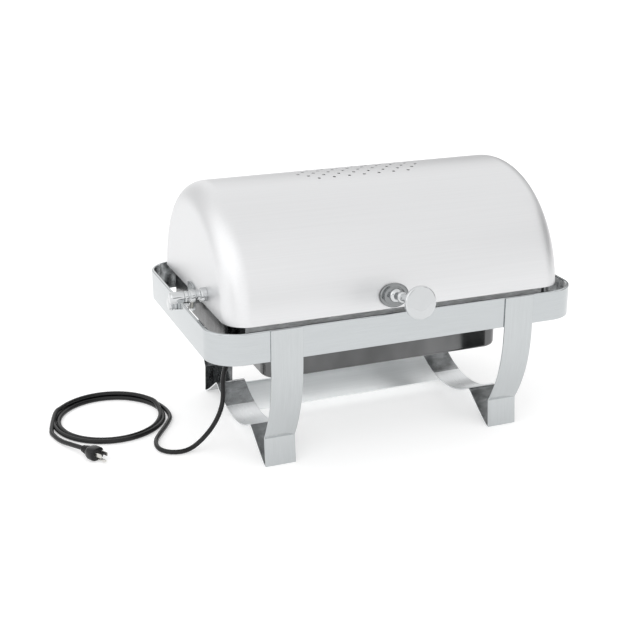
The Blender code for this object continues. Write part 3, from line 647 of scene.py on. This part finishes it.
def make_band():
    """An upright sheet ring whose top edge rolls inward into a narrow lip."""
    low, top = BAND_Z
    roll = 0.0020
    rows = [(0.0004, low), (0.0, low + 0.0004)]
    for i in range(6):
        turn = i / 5 * pi / 2
        rows.append((roll * (1 - cos(turn)), top - roll + roll * sin(turn)))
    rows += [(LIP_WIDTH - 0.0005, top), (LIP_WIDTH, top - 0.0006),
             (LIP_WIDTH, top - BAND_SHEET + 0.0002), (LIP_WIDTH - 0.0005, top - BAND_SHEET),
             (BAND_SHEET + 0.0004, top - BAND_SHEET - 0.0002),
             (BAND_SHEET, top - BAND_SHEET - 0.0008), (BAND_SHEET, low + 0.0004),
             (BAND_SHEET - 0.0004, low)]
    rings = [rounded_rectangle(FRAME_HALF[0] - inset, FRAME_HALF[1] - inset,
                               BAND_CORNER - inset, z) for inset, z in rows]
    made = loft("band", rings, "frame", "band", ["frame_band"], closed=True)
    # The inner face takes the painted shade.
    second_look(made, lambda c, n: c.z < top - BAND_SHEET and n.x * c.x + n.y * c.y < -INWARD,
                "inside")


def leg_path():
    """The front of a leg as (y, z), from the band's top down to the floor."""
    upright = FRAME_HALF[1] + GAP
    path = [(upright, BAND_Z[1]), (upright, BAND_Z[0])]
    depth = upright - CREASE[0]
    drop = BAND_Z[0] - CREASE[1]
    for i in range(1, 33):
        part = i / 32
        path.append((upright - depth * part ** LEG_CURVE, BAND_Z[0] - drop * part))
    return path + [(FOOT_Y, 0.003), (FOOT_Y, 0.0)]


def make_legs():
    for side, sx in SIDES:
        for end, sy in ENDS:
            outline = [Vector((sy * p.x, p.y)) for p in sheet_outline(leg_path(), RIBBON_SHEET)]
            made = ribbon(f"{side}_{end}_leg_ribbon", outline, sx * LEG_X, "leg",
                          [f"{side}_{end}_leg"])
            # The inward faces take the painted shade.
            second_look(made, lambda c, n, sy=sy: n.y * sy < -BACK_FACING)


def sag_height(y):
    """Underside of the sagging middle: a circular arc from the peaks to SAG_Z."""
    edge = PEAK[0] - PEAK_EDGE[0]
    rise = PEAK[1] - PEAK_EDGE[1] - SAG_Z
    radius = (edge ** 2 + rise ** 2) / (2 * rise)
    return SAG_Z + radius - sqrt(radius ** 2 - y ** 2)


def cross_ribbon_path():
    """Floor, ramp, rounded peak, shallow sag and back down: the underside."""
    start = FOOT_Y - GAP - 0.0006
    half = [(start, 0.0, 0.0), (start - 0.006, 0.0012, 0.0)]
    ramp_y, ramp_z = half[-1][:2]
    for part in (0.25, 0.5, 0.75):
        y = ramp_y + (PEAK[0] + 0.006 - ramp_y) * part
        z = ramp_z + (PEAK[1] - 0.004 - ramp_z) * part ** 1.1
        half.append((y, z, 0.0))
    half += [(PEAK[0] + 0.005, PEAK[1] - 0.0036, 0.0), (PEAK[0], PEAK[1] - 0.0015, 0.0),
             (PEAK[0] - PEAK_EDGE[0], PEAK[1] - PEAK_EDGE[1], 0.0)]
    half = [(p.x, max(0.0, p.y)) for p in smooth_points(half, 0.0025)]
    edge = PEAK[0] - PEAK_EDGE[0]
    steps = 28
    for i in range(1, steps):
        y = edge * (1 - i / steps)
        half.append((y, sag_height(y)))
    return half + [(0.0, SAG_Z)] + [(-y, z) for y, z in half[::-1]]


def make_cross_ribbons():
    for side, sx in SIDES:
        outline = sheet_outline(cross_ribbon_path()[::-1], RIBBON_SHEET)
        made = ribbon(f"{side}_cross_strip", outline, sx * LEG_X, "ribbon",
                      [f"{side}_cross_ribbon"])
        # The ramps take the painted reflection.
        second_look(made, lambda c, n: abs(n.x) < HALF_FACING
                    and (c.y < -PEAK[0] or c.y > RAMP_FROM), "ramp")


def make_shelf():
    """The plate between the ribbons, with a back wall whose ends are rounded off."""
    half = LEG_X - LEG_WIDTH / 2 - GAP
    steps = 14
    ys = [SHELF[0] + (SHELF[1] - SHELF[0]) * i / steps for i in range(steps + 1)]
    under = [(y, sag_height(y) + GAP) for y in ys]
    wall_from, wall_to = SHELF_WALL_X
    rise = [SHELF_CORNER * (i / steps) ** 1.6 for i in range(steps + 1)]
    columns = [-half] + [wall_from + x for x in rise] + [wall_to - x for x in rise[::-1]] + [half]
    t = SHELF_SHEET
    lip = 0.0012
    rings = []
    for x in columns:
        edge = min(1.0, max(0.0, min(x - wall_from, wall_to - x) / SHELF_CORNER))
        foot = under[-1][1] + t
        top = foot + lip + (SHELF_WALL_TOP - foot - lip) * sqrt(1 - (1 - edge) ** 2)
        ring = [Vector((x, y, z)) for y, z in under]
        ring += [Vector((x, SHELF[1], top)), Vector((x, SHELF[1] - t, top))]
        ring += [Vector((x, y - (t if i == steps else 0), z + t))
                 for i, (y, z) in reversed(list(enumerate(under)))]
        rings.append(ring)
    loft("shelf", rings, "frame", "shelf", ["cross_shelf"])


def make_carrier():
    """The ring that the pans rest on: an upright wall with a flange turned inward."""
    low, top = CARRIER_Z
    t = CARRIER_SHEET
    bend = 0.0026
    rows = [(0.0003, low), (0.0, low + 0.0003)]
    for i in range(5):
        turn = i / 4 * pi / 2
        rows.append((bend * (1 - cos(turn)), top - bend + bend * sin(turn)))
    rows += [(CARRIER_FLANGE - 0.0003, top), (CARRIER_FLANGE, top - 0.0004),
             (CARRIER_FLANGE, top - t + 0.0003), (CARRIER_FLANGE - 0.0003, top - t),
             (t + 0.0006, top - t), (t, top - t - 0.0006), (t, low + 0.0003), (t - 0.0003, low)]
    rings = [rounded_rectangle(CARRIER_HALF[0] - inset, CARRIER_HALF[1] - inset,
                               CARRIER_CORNER - inset, z) for inset, z in rows]
    # The side walls take the painted shade; the faces picked below take the painted light.
    made = loft("carrier", rings, "frame", "carrier_side_shade", ["pan_carrier"], closed=True)
    second_look(made, lambda c, n: abs(n.x) < HALF_FACING or n.z > HALF_FACING, "carrier_lit_face")


def make_heater():
    """The heater's open box, with a rounded bottom edge."""
    hx, hy = HEATER_HALF
    low, top = HEATER_Z
    t = HEATER_SHEET
    bend = 0.006
    rows = []
    for i in range(7):
        turn = i / 6 * pi / 2
        rows.append((bend * (1 - sin(turn)), low + bend * (1 - cos(turn))))
    rings = [rounded_rectangle(hx - a, hy - a, HEATER_CORNER - a, z) for a, z in rows]
    rings += [rounded_rectangle(hx - a, hy - a, HEATER_CORNER - a, z)
              for a, z in ((0.0, top - 0.0004), (0.0004, top), (t, top),
                           (t, low + bend + t * 0.4), (bend + t * 0.4, low + t))]
    # Only the walls carry the painted shade; the underside keeps the paler pan steel.
    made = loft("heater_shell", rings, "frame", "heater", ["heater_housing"])
    second_look(made, lambda c, n: n.z < -LEVEL_FACING, "pan")


def make_pan(name, seat, sizes, body):
    """An open drawn pan with a flat flange."""
    half, flange, depth, corner = sizes
    t = PAN_SHEET
    bend = 0.004
    draft = 0.010
    wide = corner + draft * 0.5
    outer_corner = wide + flange * 0.6

    def ring(inset, z, radius):
        return rounded_rectangle(half[0] - flange - inset, half[1] - flange - inset, radius,
                                 seat + z, 14)

    low = -depth
    outer = [ring(draft + 0.020, low, corner - 0.014),
             ring(draft + 0.0125, low + 0.0012, corner - 0.010),
             ring(draft + 0.007, low + 0.004, corner - 0.006),
             ring(draft + 0.0022, low + 0.0085, corner - 0.002),
             ring(draft, low + 0.014, corner), ring(0.0, -bend, wide),
             ring(-bend * 0.15, -bend * 0.35, wide), ring(-bend * 0.6, 0.0, wide)]
    rim = [ring(-flange + 0.0003, 0.0, outer_corner), ring(-flange, 0.0004, outer_corner),
           ring(-flange, t - 0.0004, outer_corner), ring(-flange + 0.0003, t, outer_corner)]
    inner = [ring(-bend * 0.2, t, wide), ring(t * 0.6, t - 0.0012, wide - t * 0.6),
             ring(t, -bend * 0.6, wide - t), ring(draft + t, low + 0.014, corner - t),
             ring(draft + 0.0022 + t * 0.9, low + 0.0085 + t * 0.3, corner - 0.002 - t),
             ring(draft + 0.007 + t * 0.7, low + 0.004 + t * 0.7, corner - 0.006 - t),
             ring(draft + 0.0125 + t * 0.3, low + 0.0012 + t, corner - 0.010 - t * 0.5),
             ring(draft + 0.020, low + t, corner - 0.014)]
    loft(f"{name}_drawn", outer + rim + inner, body, "pan", [name])


# ---------------------------------------------------------------- dome and its fittings

def dome_stations(radius, half_x, fillet, steps=12):
    """(x, radius) pairs along the dome, with a rounded edge at each end."""
    arc = [(half_x - fillet + fillet * sin(a), radius - fillet + fillet * cos(a))
           for a in (i * pi / 2 / steps for i in range(steps + 1))]
    flat = half_x - fillet
    middle = [(-flat + 2 * flat * i / 36, radius) for i in range(1, 36)]
    return [(-x, r) for x, r in arc[::-1]] + middle + arc


def dome_grid(radius, half_x, fillet, around_steps=88):
    """Rows of points from the rear rim over the top to the front rim."""
    lift = RIM_Z - AXIS_Z
    rows = []
    for x, r in dome_stations(radius, half_x, fillet):
        first = asin(lift / r)
        row = []
        for j in range(around_steps + 1):
            turn = first + (pi - 2 * first) * j / around_steps
            row.append(Vector((x, r * cos(turn), AXIS_Z + r * sin(turn))))
        rows.append(row)
    return rows


def dome_normal(point):
    """Outward direction of the dome's true surface at a point."""
    across = Vector((0.0, point.y, point.z - AXIS_Z))
    flat = DOME_HALF_X - DOME_FILLET
    beyond = abs(point.x) - flat
    if beyond <= 0:
        return across.normalized()
    ring = DOME_RADIUS - DOME_FILLET
    if across.length <= ring:
        return Vector((1.0 if point.x > 0 else -1.0, 0.0, 0.0))
    out = across.normalized() * (across.length - ring)
    out.x = beyond if point.x > 0 else -beyond
    return out.normalized()


def cutter_of(points, faces):
    """A solid to cut holes with."""
    mesh = bpy.data.meshes.new("cutter")
    mesh.from_pydata(points, [], faces)
    shape = bmesh.new()
    shape.from_mesh(mesh)
    bmesh.ops.recalc_face_normals(shape, faces=shape.faces)
    shape.to_mesh(mesh)
    shape.free()
    made = bpy.data.objects.new("cutter", mesh)
    bpy.context.scene.collection.objects.link(made)
    return made


def vent_cutter():
    """All the vent holes as one cutter: staggered rows along the dome's top."""
    cutter_points = []
    cutter_faces = []
    for row, count in enumerate(VENT_ROWS):
        y = (row - (len(VENT_ROWS) - 1) / 2) * VENT_PITCH[1]
        for i in range(count):
            x = (i - (count - 1) / 2) * VENT_PITCH[0]
            base = AXIS_Z + sqrt(DOME_RADIUS ** 2 - y ** 2)
            rings = [around(Vector((x, y, base + dz)) + ORIGIN, Vector((1, 0, 0)),
                            Vector((0, 1, 0)), VENT_DIAMETER / 2, 16) for dz in (-0.006, 0.006)]
            hole_points, hole_faces = skin(rings, False)
            shift = len(cutter_points)
            cutter_points += [tuple(p) for p in hole_points]
            cutter_faces += [tuple(shift + k for k in f) for f in hole_faces]
    return cutter_of(cutter_points, cutter_faces)


def smooth_dome(mesh):
    """Take the normals of the round faces from the true surface, so that no facets show."""
    normals = []
    for face in mesh.polygons:
        centre = face.center - ORIGIN
        true = dome_normal(centre)
        facing = face.normal.dot(true)
        for k in face.loop_indices:
            where = mesh.vertices[mesh.loops[k].vertex_index].co - ORIGIN
            if len(face.vertices) > END_FACE_CORNERS or abs(facing) < EDGE_FACING:
                normals.append(face.normal)
            else:
                normals.append(dome_normal(where) * (1 if facing > 0 else -1))
    mesh.normals_split_custom_set(normals)


def make_dome():
    """A sheet shell with an inner face, and the vents cut through it."""
    outer = dome_grid(DOME_RADIUS, DOME_HALF_X, DOME_FILLET)
    inner = dome_grid(DOME_RADIUS - DOME_SHEET, DOME_HALF_X - DOME_SHEET,
                      DOME_FILLET - DOME_SHEET)
    rows, width = len(outer), len(outer[0])
    points = [p for row in outer for p in row] + [p for row in inner for p in row]

    def at(layer, i, j):
        return (layer * rows + i) * width + j

    faces = []
    for layer in (0, 1):
        for i in range(rows - 1):
            for j in range(width - 1):
                faces.append((at(layer, i, j), at(layer, i, j + 1), at(layer, i + 1, j + 1),
                              at(layer, i + 1, j)))
        for i in (0, rows - 1):
            faces.append(tuple(at(layer, i, j) for j in range(width)))
    for j in (0, width - 1):
        for i in range(rows - 1):
            faces.append((at(0, i, j), at(0, i + 1, j), at(1, i + 1, j), at(1, i, j)))
    for i in (0, rows - 1):
        faces.append((at(0, i, 0), at(0, i, width - 1), at(1, i, width - 1), at(1, i, 0)))
    dome = piece("dome_shell", points, faces, "dome", "dome", ["dome_cover"])
    cutter = vent_cutter()
    cut = dome.modifiers.new("vents", "BOOLEAN")
    cut.operation = "DIFFERENCE"
    cut.solver = "EXACT"
    cut.object = cutter
    bpy.context.view_layer.update()
    shown = dome.evaluated_get(bpy.context.evaluated_depsgraph_get())
    mesh = bpy.data.meshes.new_from_object(shown)
    dome.modifiers.clear()
    dome.data = mesh
    bpy.data.objects.remove(cutter)
    smooth_dome(mesh)


def knob_axis():
    return Vector((0.0, -cos(KNOB_ANGLE), sin(KNOB_ANGLE)))


def make_knob():
    """An oval plate, a turned stem and a flat disc on a radius of the dome."""
    axis = knob_axis()
    base = Vector((KNOB_X, 0.0, AXIS_Z))
    seat = DOME_RADIUS + 0.0022
    plate = [(seat, 0.0240), (seat, 0.0250), (seat + 0.0010, 0.0250), (seat + 0.0022, 0.0236),
             (seat + 0.0026, 0.0205), (seat + 0.0022, 0.0185), (seat + 0.0030, 0.0165),
             (seat + 0.0042, 0.0140)]
    turned("knob_plate", rounded(plate, 0.0008), base, axis, "dome", "plate",
           ["knob_escutcheon"], 72, squash=PLATE_OVAL)
    start = seat + 0.0042 + GAP
    disc = KNOB_REACH - KNOB_THICK
    length = disc - GAP - start
    stem = [(0, 0.0110), (0.0040, 0.0108), (0.0062, 0.0092), (0.0075, 0.0066),
            (0.0130, 0.0058), (0.0215, 0.0056), (0.0222, 0.0080), (0.0236, 0.0086),
            (0.0262, 0.0086), (0.0276, 0.0080), (0.0283, 0.0060), (0.0330, 0.0058),
            (length - 0.030, 0.0060), (length - 0.018, 0.0072), (length - 0.009, 0.0104),
            (length - 0.003, 0.0150), (length - 0.0012, 0.0166), (length, 0.0166)]
    turned("knob_shank", rounded(stem, 0.0006), base + axis * start, axis, "dome", "chrome",
           ["knob_stem"], 48, corner=60)
    face = [(0, KNOB_RADIUS - 0.0030), (0.0008, KNOB_RADIUS - 0.0010), (0.0022, KNOB_RADIUS),
            (KNOB_THICK - 0.0020, KNOB_RADIUS), (KNOB_THICK - 0.0007, KNOB_RADIUS - 0.0007),
            (KNOB_THICK, KNOB_RADIUS - 0.0022), (KNOB_THICK, 0.012)]
    turned("knob_head", rounded(face, 0.0008), base + axis * disc, axis, "dome", "chrome",
           ["knob_disc"], 80)


def make_posts():
    """The turned post on the dome's left end and the pivot pins below."""
    start = DOME_HALF_X + GAP
    full = POST_END_X - start
    r = POST_RADIUS
    post = [(0, r * 1.12), (0.0100, r * 1.12), (0.0112, r * 0.80), (0.0172, r * 0.80),
            (0.0184, r), (0.0262, r), (0.0272, r * 0.80), (0.0300, r * 0.80), (0.0306, r * 0.9),
            (0.0340, r * 0.9), (0.0346, r * 0.80), (0.0364, r * 0.80), (0.0376, r * 0.95),
            (full - 0.0030, r * 0.95), (full - 0.0008, r * 0.84), (full, r * 0.66)]
    head = PIN_HEAD
    shaft = FRAME_HALF[0] - CARRIER_HALF[0] + 0.0112
    pin = [(0, PIN_HEAD_RADIUS * 0.70), (0.0006, PIN_HEAD_RADIUS * 0.88),
           (0.0018, PIN_HEAD_RADIUS), (0.0070, PIN_HEAD_RADIUS), (0.0074, PIN_HEAD_RADIUS * 0.86),
           (0.0084, PIN_HEAD_RADIUS * 0.86), (0.0088, PIN_HEAD_RADIUS),
           (head - GAP, PIN_HEAD_RADIUS), (head - GAP, PIN_RADIUS), (head + shaft, PIN_RADIUS)]
    turned("side_post_turned", rounded(post, 0.0005), (-start, POST[0], POST[1]), (-1, 0, 0),
           "dome", "chrome", ["side_post"], 40)
    for side, sx in SIDES:
        turned(f"{side}_pin", rounded(pin, 0.0005), (sx * (FRAME_HALF[0] + head), 0, AXIS_Z),
               (-sx, 0, 0), "frame", "chrome", [f"{side}_pivot_pin"], 40)


# ---------------------------------------------------------------- what stays from the CAD

KEPT = {
    "left_carrier_bracket": "pan", "right_carrier_bracket": "pan",
    "left_pivot_spacer": "chrome", "right_pivot_spacer": "chrome",
    "left_pivot_nut": "chrome", "right_pivot_nut": "chrome", "knob_nut": "chrome",
    "heater_plate": "aluminium", "heater_element": "sheath", "insulation_pad": "wool",
    "thermostat": "phenolic", "terminal_block": "phenolic",
    "left_front_heater_strap": "pan", "left_rear_heater_strap": "pan",
    "right_front_heater_strap": "pan", "right_rear_heater_strap": "pan",
    "plug_blade_line": "nickel", "plug_blade_neutral": "nickel", "plug_ground_pin": "nickel",
    "left_dome_lug": "band", "right_dome_lug": "band",
    "left_pivot_bushing": "nylon", "right_pivot_bushing": "nylon",
}


def dress_kept_nodes():
    """Give the CAD nodes that stay their finishes."""
    for node, look in KEPT.items():
        mesh = frame["nodes"][node].data
        mesh.materials.clear()
        mesh.materials.append(LOOK[look])


make_camera()
make_floor()
make_world()
make_key_light()
make_cord()
make_strain_relief()
make_band()
make_legs()
make_cross_ribbons()
make_shelf()
make_carrier()
make_heater()
make_pan("water_pan", PAN_SEAT, WATER_PAN, "water_pan_body")
make_pan("food_pan", PAN_SEAT + GAP + PAN_SHEET, FOOD_PAN, "food_pan_body")
make_dome()
make_knob()
make_posts()
dress_kept_nodes()

bpy.context.scene.view_settings.view_transform = "Standard"
